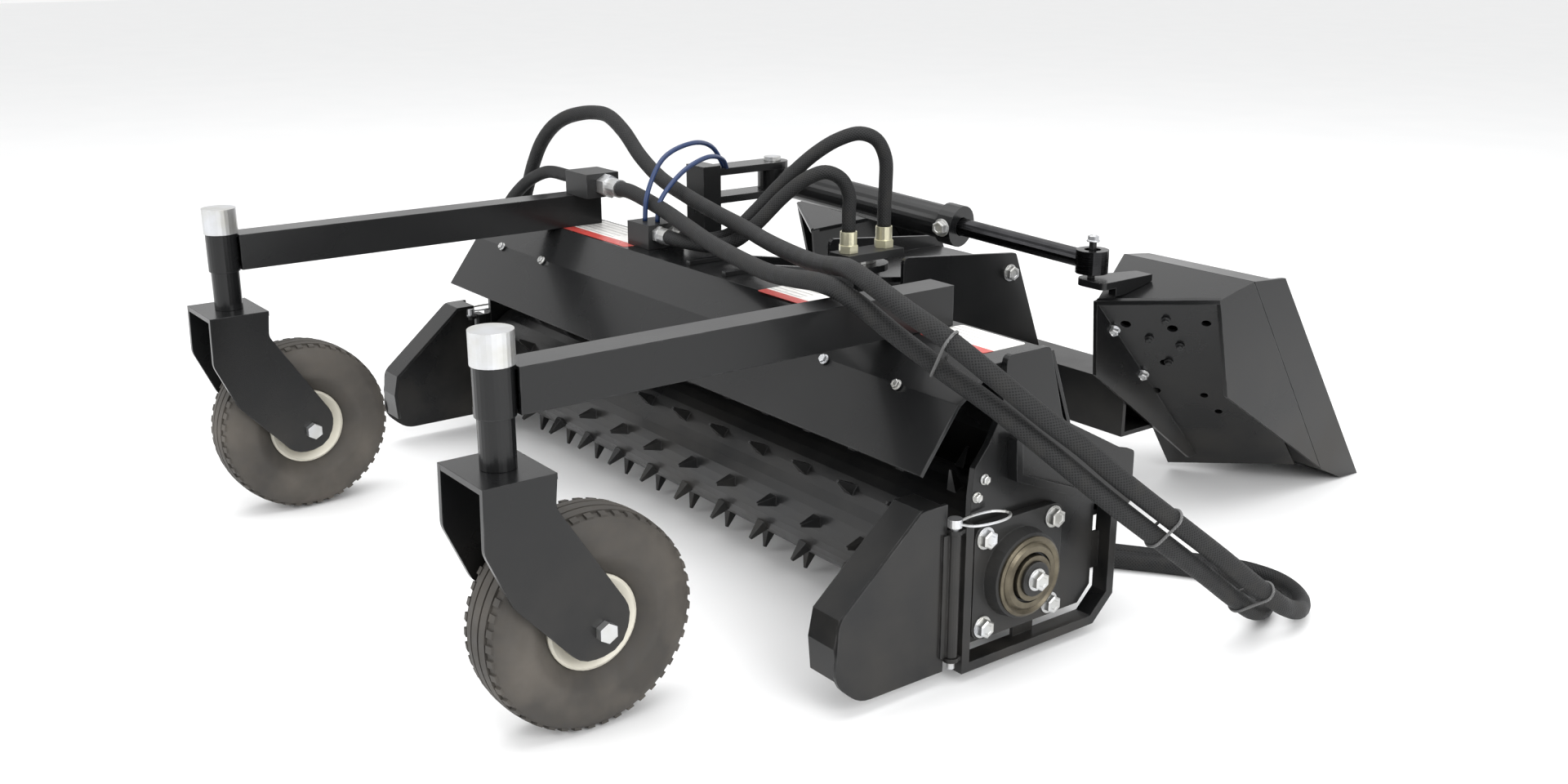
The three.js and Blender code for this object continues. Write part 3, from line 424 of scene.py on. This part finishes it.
zinc = plated("bright_zinc", (0.6, 0.61, 0.63, 1), (0.5, 0.495, 0.46, 1), 0.28, 0.9)
yellow_zinc = plated("yellow_zinc", (0.72, 0.69, 0.5, 1), (0.6, 0.58, 0.44, 1), 0.3, 0.85)
bare_steel = plated("bearing_steel", (0.17, 0.15, 0.11, 1), (0.07, 0.06, 0.045, 1), 0.34)
# The cylinder rod is coloured near-black metal, much darker than bare chrome.
dark_rod = plated("near_black_metal_rod", (0.035, 0.035, 0.037, 1), (0.02, 0.02, 0.021, 1), 0.16)

for name in nodes:
    if name.startswith(("post_cap", "axle_bolt", "lock_pin", "swing_pin", "anchor_pin",
                        "outlet_fitting", "main_coupler", "deck_fitting")):
        finish_node(name, zinc)
    if name.startswith(("motor_fitting", "bulkhead_fitting")):
        finish_node(name, yellow_zinc)
finish_node("bearing_housing", dark_paint)
finish_node("bearing_collar", bare_steel)
finish_node("cylinder_rod", dark_rod)

# ---- gauge tyres ----------------------------------------------------------------------
# Moulded rubber tyres with a ribbed tread: five ribs between grooves, the outer two cut
# into saw teeth, over a plain rounded side wall with a bead ring.
tyre_rubber, tree, shader = material("dusty_tyre_rubber")
place = wire(tree, "ShaderNodeTexCoord").outputs["Object"]
height = wire(tree, "ShaderNodeSeparateXYZ", Vector=place).outputs[2]
grit = cloud(tree, place, 70.0, 6.0)
smear = cloud(tree, place, 8.0, 4.0)
tone = blend_colour(tree, grit, (0.022, 0.02, 0.018, 1), (0.062, 0.056, 0.048, 1))
soil = sums(tree, "MULTIPLY", remap(tree, smear, 0.4, 0.68), remap(tree, height, 0.32, 0.0, 0.25, 0.75))
tree.links.new(blend_colour(tree, soil, tone, (0.12, 0.105, 0.088, 1)), shader.inputs["Base Color"])
tree.links.new(remap(tree, grit, 0.3, 0.7, 0.62, 0.85), shader.inputs["Roughness"])
bump = wire(tree, "ShaderNodeBump", Height=grit, Strength=0.25, Distance=0.0006)
tree.links.new(bump.outputs[0], shader.inputs["Normal"])


def clear_selection():
    if bpy.context.mode != "OBJECT":
        bpy.ops.object.mode_set(mode="OBJECT")
    for thing in bpy.context.selected_objects:
        thing.select_set(False)


def begin(piece):
    clear_selection()
    bpy.context.view_layer.objects.active = piece
    piece.select_set(True)
    bpy.ops.object.mode_set(mode="EDIT")


def pick_faces(piece, test):
    """In edit mode, selects just the faces whose centre and normal pass the test."""
    mesh = bmesh.from_edit_mesh(piece.data)
    for part in (mesh.verts, mesh.edges, mesh.faces):
        for item in part:
            item.select = False
    for face in mesh.faces:
        if test(face.calc_center_median(), face.normal):
            face.select_set(True)
    bmesh.update_edit_mesh(piece.data)


def end(piece):
    bpy.ops.object.mode_set(mode="OBJECT")
    bpy.ops.object.select_all(action="DESELECT")
    return piece


TREAD_STEPS = 90
SECTION = [(-0.026, 0.064), (-0.037, 0.072), (-0.0435, 0.086), (-0.0468, 0.1), (-0.0472, 0.114),
           (-0.0455, 0.126), (-0.0425, 0.135), (-0.036, 0.1425), (-0.026, 0.1448),
           (-0.023, 0.1449), (-0.0105, 0.1463), (-0.0075, 0.1464), (0.0075, 0.1464),
           (0.0105, 0.1463), (0.023, 0.1449), (0.026, 0.1448), (0.036, 0.1425),
           (0.0425, 0.135), (0.0455, 0.126), (0.0472, 0.114), (0.0468, 0.1),
           (0.0435, 0.086), (0.037, 0.072), (0.026, 0.064)]


def ribbed_tyre(name, hub):
    mesh = bpy.data.meshes.new(name)
    points = [(x, r, 0) for x, r in SECTION]
    count = len(points)
    mesh.from_pydata(points, [(i, (i + 1) % count) for i in range(count)], [])
    piece = bpy.data.objects.new(name, mesh)
    bpy.context.scene.collection.objects.link(piece)
    begin(piece)
    bpy.ops.mesh.select_all(action="SELECT")
    bpy.ops.mesh.spin(steps=TREAD_STEPS, angle=2 * math.pi, center=(0, 0, 0), axis=(1, 0, 0))
    bpy.ops.mesh.select_all(action="SELECT")
    bpy.ops.mesh.remove_doubles(threshold=0.00005)
    bpy.ops.mesh.normals_make_consistent(inside=False)

    def rib(centre, normal):
        reach = math.hypot(centre.y, centre.z)
        across = abs(centre.x)
        turn = round(math.atan2(centre.z, centre.y) / (2 * math.pi) * TREAD_STEPS - 0.5)
        middle = reach > 0.144 and (across < 0.006 or 0.012 < across < 0.022)
        shoulder = reach > 0.138 and 0.028 < across < 0.036 and turn % 2 == 0
        return middle or shoulder

    pick_faces(piece, rib)
    bpy.ops.mesh.extrude_region_shrink_fatten(TRANSFORM_OT_shrink_fatten={"value": 0.0034})
    pick_faces(piece, lambda centre, normal: abs(normal.x) > 0.9 and 0.08 < math.hypot(
        centre.y, centre.z) < 0.1)
    bpy.ops.mesh.inset(thickness=0.003, depth=0.0012)
    end(piece)
    piece.data.transform(Matrix.Translation(hub))
    clear_selection()
    bpy.context.view_layer.objects.active = piece
    piece.select_set(True)
    bpy.ops.object.shade_smooth_by_angle(angle=math.radians(32))
    piece.select_set(False)
    piece.data.materials.append(tyre_rubber)
    return piece


def middle_of(node):
    low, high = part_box(node)
    return (low + high) / 2


first_tyre = ribbed_tyre("tread_tyre_near", middle_of("tyre_near"))
second_tyre = first_tyre.copy()
second_tyre.data = first_tyre.data.copy()
second_tyre.name = "tread_tyre_far"
second_tyre.data.transform(Matrix.Translation(middle_of("tyre_far") - middle_of("tyre_near")))
bpy.context.scene.collection.objects.link(second_tyre)
for piece, end_name in ((first_tyre, "near"), (second_tyre, "far")):
    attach(piece, f"wheel_{end_name}")
    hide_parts(f"tyre_{end_name}")

# ---- wheel rims -------------------------------------------------------------------------
# Pressed steel rims in cream enamel, grubby round the hub, each with a dished flange ring.
cream = painted("cream_enamel", (0.62, 0.59, 0.49, 1), (0.72, 0.69, 0.6, 1), 0.34, 0.5)
for end_name in ("near", "far"):
    finish_node(f"rim_{end_name}", cream)
    hub = middle_of(f"rim_{end_name}")
    for face, sign in (("outer", 1), ("inner", -1)):
        clear_selection()
        bpy.ops.mesh.primitive_cylinder_add(vertices=48, radius=0.0655, depth=0.006,
                                            rotation=(0, math.pi / 2, 0))
        ring = bpy.context.object
        bpy.ops.object.transform_apply(location=False, rotation=True, scale=False)
        begin(ring)
        pick_faces(ring, lambda centre, normal: normal.x > 0.9)
        bpy.ops.mesh.inset(thickness=0.004, depth=0.003)
        bpy.ops.mesh.inset(thickness=0.006, depth=-0.003)
        bpy.ops.mesh.inset(thickness=0.012, depth=-0.012)
        bpy.ops.mesh.inset(thickness=0.018, depth=0.004)
        end(ring)
        ring.name = f"rim_flange_{face}_{end_name}"
        if sign < 0:
            ring.data.transform(Matrix.Rotation(math.pi, 4, "Z"))
        ring.data.transform(Matrix.Translation(hub + Vector((sign * 0.0285, 0, 0))))
        clear_selection()
        bpy.context.view_layer.objects.active = ring
        ring.select_set(True)
        bpy.ops.object.shade_smooth_by_angle(angle=math.radians(30))
        ring.data.materials.append(cream)
        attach(ring, f"wheel_{end_name}")

# ---- bolts --------------------------------------------------------------------------------
# Zinc-plated hex bolts, each a chamfered head with a stamped hollow on a round washer.
def hex_bolt(name, width, tall):
    """One bolt head on its washer, standing on the origin along +Z."""
    clear_selection()
    bpy.ops.mesh.primitive_cylinder_add(vertices=6, radius=width / 2, depth=tall,
                                        location=(0, 0, tall / 2 + 0.002))
    bolt = bpy.context.object
    bolt.name = name
    bpy.ops.object.transform_apply(location=True, rotation=False, scale=False)
    begin(bolt)
    pick_faces(bolt, lambda centre, normal: normal.z > 0.9)
    bpy.ops.mesh.inset(thickness=width * 0.07, depth=tall * 0.14)
    bpy.ops.mesh.inset(thickness=width * 0.12, depth=0)
    bpy.ops.mesh.inset(thickness=width * 0.03, depth=-tall * 0.12)
    bpy.ops.mesh.select_all(action="DESELECT")
    bpy.ops.mesh.primitive_cylinder_add(vertices=24, radius=width * 0.6, depth=0.0024,
                                        location=(0, 0, 0.0012))
    bpy.ops.mesh.bevel(offset=0.0004, segments=1)
    end(bolt)
    bolt.data.materials.append(zinc)
    return bolt


def fit_bolts(pattern, name, places, outward, body):
    """A copy of the pattern bolt at each place, its head pointing outward."""
    turn = Vector(outward).normalized().to_track_quat("Z", "Y").to_matrix().to_4x4()
    for number, where in enumerate(places, 1):
        bolt = pattern.copy()
        bolt.data = pattern.data.copy()
        bolt.name = f"{name}_{number}"
        bolt.data.transform(Matrix.Translation(where) @ turn)
        bpy.context.scene.collection.objects.link(bolt)
        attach(bolt, body)


large = hex_bolt("large_bolt", 0.027, 0.010)
medium = hex_bolt("medium_bolt", 0.019, 0.0075)
small = hex_bolt("small_bolt", 0.013, 0.005)

low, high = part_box("bearing_housing")
shaft = middle_of("bearing_housing")
flange_face = low.x + 0.014
corner = [(-1, -1), (-1, 1), (1, -1), (1, 1)]
fit_bolts(large, "bearing_bolt", [(flange_face, shaft.y + 0.066 * a, shaft.z + 0.066 * b)
                                  for a, b in corner], (1, 0, 0), "rake")
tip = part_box("roller")[1].x
fit_bolts(large, "shaft_bolt", [(tip, shaft.y, shaft.z)], (1, 0, 0), "roller")
motor_low, motor_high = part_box("drive_motor")
motor_face = motor_high.x - 0.02
fit_bolts(medium, "motor_bolt", [(motor_face, shaft.y + 0.062 * a, shaft.z + 0.05 * b)
                                 for a, b in corner], (-1, 0, 0), "rake")
fit_bolts(small, "motor_cover_bolt", [
    (motor_low.x, shaft.y + 0.04 * math.cos(k * math.pi / 3.5), shaft.z + 0.04 * math.sin(
        k * math.pi / 3.5)) for k in range(7)], (-1, 0, 0), "rake")
fit_bolts(small, "fold_bolt", [(x - ORIGIN.x, 0.733 - ORIGIN.y, 0.3955) for x in (
    -0.585, -0.425, 0.425, 0.585)], (0, -0.8, 0.6), "rake")
for sign, end_name, edge in ((1, "near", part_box("end_plate_near")[1].x),
                             (-1, "far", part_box("end_plate_far")[0].x)):
    fit_bolts(small, f"end_plate_bolt_{end_name}", [
        (edge, y - ORIGIN.y, z) for y, z in ((0.766, 0.262), (0.7795, 0.285))],
        (sign, 0, 0), "rake")
frame_low, frame_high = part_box("swing_frame")
for sign, word, x in ((1, "near", frame_high.x), (-1, "far", frame_low.x)):
    fit_bolts(large, f"swing_frame_bolt_{word}", [(x, 1.433 - ORIGIN.y, 0.373)],
              (sign, 0, 0), "mount")

# ---- mount panel fasteners -----------------------------------------------------------------
# The raked front panels of the loader mount carry two zinc bolts and four painted studs each.
corner_in, corner_out, foot = (Vector(p) - ORIGIN for p in (
    (0.395, 1.351, 0.386), (0.573, 1.451, 0.407), (0.336, 1.66, 0)))
across = (corner_out - corner_in).normalized()
inward = across.cross(foot - corner_in).normalized()
downward = inward.cross(across)
BRIGHT_BOLTS = [(0.018, 0.075), (0.05, 0.2)]
DARK_STUDS = [(0.11, 0.05), (0.125, 0.12), (0.1, 0.165), (0.075, 0.1)]
for word, mirror in (("near", 1), ("far", -1)):
    for label, spots, pattern in (("bolt", BRIGHT_BOLTS, medium), ("stud", DARK_STUDS, small)):
        places = []
        for a, b in spots:
            where = corner_in + across * a + downward * b - inward * 0.0003
            if mirror < 0:
                where.x = -2 * ORIGIN.x - where.x
            places.append(where)
        facing = Vector((-inward.x * mirror, -inward.y, -inward.z))
        fit_bolts(pattern, f"panel_{label}_{word}", places, facing, "mount")
        if label == "stud":
            for number in range(1, len(spots) + 1):
                stud = bpy.data.objects[f"panel_stud_{word}_{number}"]
                stud.data.materials.clear()
                stud.data.materials.append(dark_paint)

# ---- wheel hardware --------------------------------------------------------------------------
# Four lug bolts on each face hold each wheel's hub flange.
for end_name in ("near", "far"):
    hub = middle_of(f"rim_{end_name}")
    for sign, word in ((1, "a"), (-1, "b")):
        ring = [(hub.x + sign * 0.0085, hub.y + 0.032 * math.cos(k * math.pi / 2 + 0.6),
                 hub.z + 0.032 * math.sin(k * math.pi / 2 + 0.6)) for k in range(4)]
        fit_bolts(small, f"lug_bolt_{end_name}_{word}", ring, (sign, 0, 0), f"wheel_{end_name}")

# ---- cylinder hardware -----------------------------------------------------------------------
# A lock nut on the lug pin above the rod eye, and a zinc port plug in the side of the
# cylinder's gland.
pin_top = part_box("rod_lug")[1].z
fit_bolts(medium, "rod_eye_nut", [(0.37 - ORIGIN.x, 1.362 - ORIGIN.y, pin_top)], (0, 0, 1), "mount")
fit_bolts(large, "gland_plug", [(0.0905 - ORIGIN.x, 1.2713 - ORIGIN.y, 0.4751)],
          (0.1838, -0.9792, 0), "cylinder_barrel")
for pattern in (large, medium, small):
    bpy.data.objects.remove(pattern)

# ---- bearing seal ----------------------------------------------------------------------------
# A pressed shield and grease-stained rings round the shaft, over the cast flange.
clear_selection()
bpy.ops.mesh.primitive_cylinder_add(vertices=56, radius=0.058, depth=0.004,
                                    rotation=(0, math.pi / 2, 0))
shield = bpy.context.object
shield.name = "bearing_shield"
bpy.ops.object.transform_apply(location=False, rotation=True, scale=False)
begin(shield)
pick_faces(shield, lambda centre, normal: normal.x > 0.9)
bpy.ops.mesh.inset(thickness=0.004, depth=0.002)
bpy.ops.mesh.inset(thickness=0.005, depth=-0.003)
bpy.ops.mesh.inset(thickness=0.004, depth=0.004)
bpy.ops.mesh.inset(thickness=0.008, depth=0.0)
bpy.ops.mesh.delete(type="FACE")
pick_faces(shield, lambda centre, normal: normal.x < -0.9)
bpy.ops.mesh.inset(thickness=0.021, depth=0.0)
bpy.ops.mesh.delete(type="FACE")
end(shield)
shield.data.transform(Matrix.Translation((high.x - 0.001, shaft.y, shaft.z)))
shield.data.materials.append(bare_steel)
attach(shield, "rake")

# ---- blank labels ----------------------------------------------------------------------------
# Vinyl stickers on the hood deck: plain white with a coloured band and rows of grey blocks.
sticker, tree, shader = material("plain_sticker")
chart = wire(tree, "ShaderNodeTexCoord").outputs["UV"]
split = wire(tree, "ShaderNodeSeparateXYZ", Vector=chart)
band = sums(tree, "LESS_THAN", split.outputs[1], 0.24)
rows = sums(tree, "GREATER_THAN", sums(tree, "SINE", sums(
    tree, "MULTIPLY", split.outputs[1], 44.0), 0.0), 0.55)
block = sums(tree, "MULTIPLY", rows, sums(tree, "LESS_THAN", split.outputs[0], 0.62))
stain = cloud(tree, chart, 9.0, 5.0)
tone = blend_colour(tree, block, (0.84, 0.83, 0.8, 1), (0.5, 0.49, 0.48, 1))
tone = blend_colour(tree, band, tone, (0.5, 0.06, 0.05, 1))
tree.links.new(blend_colour(tree, remap(tree, stain, 0.55, 0.8, 0, 0.4), tone, (0.4, 0.38, 0.33, 1)),
               shader.inputs["Base Color"])
tree.links.new(remap(tree, stain, 0.3, 0.7, 0.25, 0.45), shader.inputs["Roughness"])
deck_top = 0.441
for name, (x, y), (wide, deep) in (("far", (-0.37, 0.858), (0.24, 0.1)),
                                   ("middle", (0.235, 0.84), (0.13, 0.085)),
                                   ("near", (0.592, 0.866), (0.13, 0.085))):
    clear_selection()
    bpy.ops.mesh.primitive_plane_add(size=1, location=(0, 0, 0))
    label = bpy.context.object
    label.name = f"deck_label_{name}"
    begin(label)
    bpy.ops.mesh.select_all(action="SELECT")
    bpy.ops.transform.resize(value=(wide, deep, 1))
    bpy.ops.mesh.bevel(offset=0.006, segments=4, affect="VERTICES")
    bpy.ops.mesh.extrude_region_move(TRANSFORM_OT_translate={"value": (0, 0, 0.0006)})
    end(label)
    label.data.transform(Matrix.Translation(Vector((x, y, deck_top)) - ORIGIN))
    label.data.materials.append(sticker)
    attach(label, "rake")

# ---- hose ties -------------------------------------------------------------------------------
# Nylon cable ties cinch the pair of main hoses together, their tails cut short.
nylon, tree, shader = material("nylon_tie")
place = wire(tree, "ShaderNodeTexCoord").outputs["Object"]
ridge = wire(tree, "ShaderNodeTexWave", Vector=place, Scale=180.0).outputs[1]
tree.links.new(blend_colour(tree, ridge, (0.05, 0.05, 0.05, 1), (0.14, 0.14, 0.14, 1)),
               shader.inputs["Base Color"])
tree.links.new(remap(tree, ridge, 0, 1, 0.35, 0.55), shader.inputs["Roughness"])
lines = [hose_line(route) for route in MAIN_ROUTES]
for number, where in enumerate((Vector((0.70, 0.715, 0.475)), Vector((0.872, 0.962, 0.218)),
                                Vector((0.9, 1.15, 0.08))), 1):
    spot = where - ORIGIN
    upper = min(lines[0], key=lambda p: (p - spot).length)
    lower = min(lines[1], key=lambda p: (p - upper).length)
    k = lines[0].index(upper)
    run = (lines[0][k + 3] - lines[0][k - 3]).normalized()
    apart = upper - lower
    apart -= run * apart.dot(run)
    clear_selection()
    bpy.ops.mesh.primitive_torus_add(major_radius=HOSE / 2 + 0.0012, minor_radius=0.0022,
                                     major_segments=40, minor_segments=8)
    tie = bpy.context.object
    tie.name = f"hose_tie_{number}"
    begin(tie)
    mesh = bmesh.from_edit_mesh(tie.data)
    for vert in mesh.verts:
        vert.select_set(vert.co.x > 0.0001)
    bmesh.update_edit_mesh(tie.data)
    bpy.ops.transform.translate(value=(apart.length / 2, 0, 0))
    for vert in mesh.verts:
        vert.select_set(vert.co.x <= 0.0001)
    bmesh.update_edit_mesh(tie.data)
    bpy.ops.transform.translate(value=(-apart.length / 2, 0, 0))
    end(tie)
    along_x = apart.normalized()
    along_y = run.cross(along_x).normalized()
    turn = Matrix((along_x, along_y, run)).transposed().to_4x4()
    tie.data.transform(Matrix.Translation((upper + lower) / 2) @ turn)
    tie.data.materials.append(nylon)
    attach(tie, "rake")

# ---- sizes -----------------------------------------------------------------------------------
# The finished model's own box, floor left out.
clear_selection()
low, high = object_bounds()
